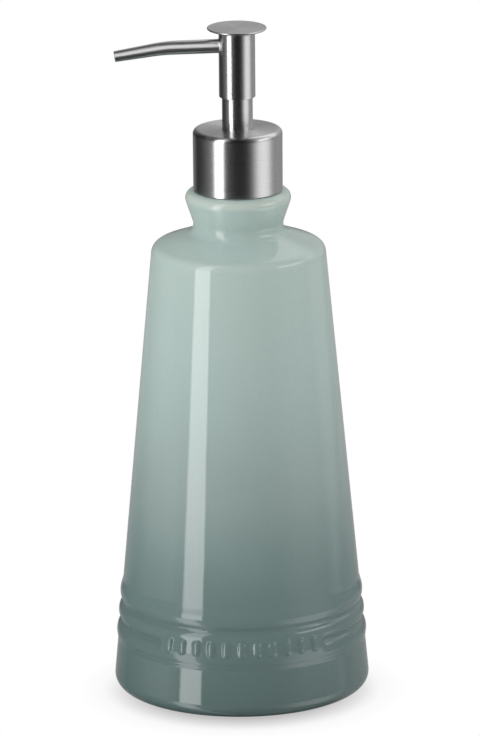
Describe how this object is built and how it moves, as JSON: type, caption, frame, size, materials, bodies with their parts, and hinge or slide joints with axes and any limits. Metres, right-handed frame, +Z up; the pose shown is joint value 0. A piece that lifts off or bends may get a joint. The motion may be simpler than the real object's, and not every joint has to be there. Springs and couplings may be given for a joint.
{
  "type": "pump dispenser bottle",
  "caption": "Tall conical glazed stoneware bottle with raised rings above its foot and a brushed-steel push pump with a thin drooping spout, for washing-up liquid or soap.",
  "frame": {"origin": "centre of the foot ring, on the surface that the bottle stands on", "axes": "+Z up along the bottle's axis; the spout points along -X and the raised band with its pellets faces -Y"},
  "size_m": [0.0916, 0.0916, 0.2433],
  "materials": {
    "glaze": "gloss",
    "brushed_steel": "brushed",
    "bright_steel": "bright",
    "white_plastic": "moulded",
    "natural_plastic": "moulded",
    "clear_tube": "satin",
    "silicone": "matte"
  },
  "bodies": {
    "bottle": {"bottle": "glaze"},
    "adapter": {"neck_adapter": "white_plastic", "neck_seal_1": "silicone", "neck_seal_2": "silicone", "neck_seal_3": "silicone"},
    "housing": {"pump_cylinder": "natural_plastic", "stem_guide": "white_plastic", "stem_wiper": "silicone", "housing_gasket": "silicone", "ball_cage": "natural_plastic", "dip_tube": "clear_tube", "return_spring": "bright_steel"},
    "collar": {"collar_shell": "brushed_steel", "collar_liner": "white_plastic", "guide_tube": "brushed_steel"},
    "plunger": {"piston_stem": "natural_plastic", "piston_seal": "natural_plastic", "piston_plug": "white_plastic", "outlet_cage": "white_plastic"},
    "head": {"actuator_core": "white_plastic", "head_sleeve": "brushed_steel", "press_disc": "brushed_steel", "spout": "brushed_steel", "spout_liner": "clear_tube"},
    "inlet_valve": {"inlet_ball": "bright_steel"},
    "outlet_valve": {"outlet_ball": "bright_steel"}
  },
  "joints": [
    {"name": "pump_pull", "type": "slide", "parent": "bottle", "child": "adapter", "axis": [0, 0, 1], "range_m": [0, 0.18]},
    {"name": "collar_rise", "type": "slide", "parent": "adapter", "child": "housing", "axis": [0, 0, 1], "range_m": [0, 0.0085]},
    {"name": "collar_turn", "type": "hinge", "parent": "housing", "child": "collar", "pos_m": [0, 0, 0.19], "axis": [0, 0, 1], "range_deg": [0, 720]},
    {"name": "head_press", "type": "slide", "parent": "housing", "child": "plunger", "axis": [0, 0, -1], "range_m": [0, 0.011], "stiffness_N_per_m": 350, "springref_m": -0.01, "deforming": ["return_spring"]},
    {"name": "head_swivel", "type": "hinge", "parent": "plunger", "child": "head", "pos_m": [0, 0, 0.228], "axis": [0, 0, 1], "continuous": true},
    {"name": "inlet_lift", "type": "slide", "parent": "housing", "child": "inlet_valve", "axis": [0, 0, 1], "range_m": [0, 0.0015]},
    {"name": "outlet_lift", "type": "slide", "parent": "plunger", "child": "outlet_valve", "axis": [0, 0, 1], "range_m": [0, 0.0012]}
  ],
  "couplings": [
    {"joint": "collar_rise", "follows": "collar_turn", "m_per_rad": 0.00067322}
  ]
}
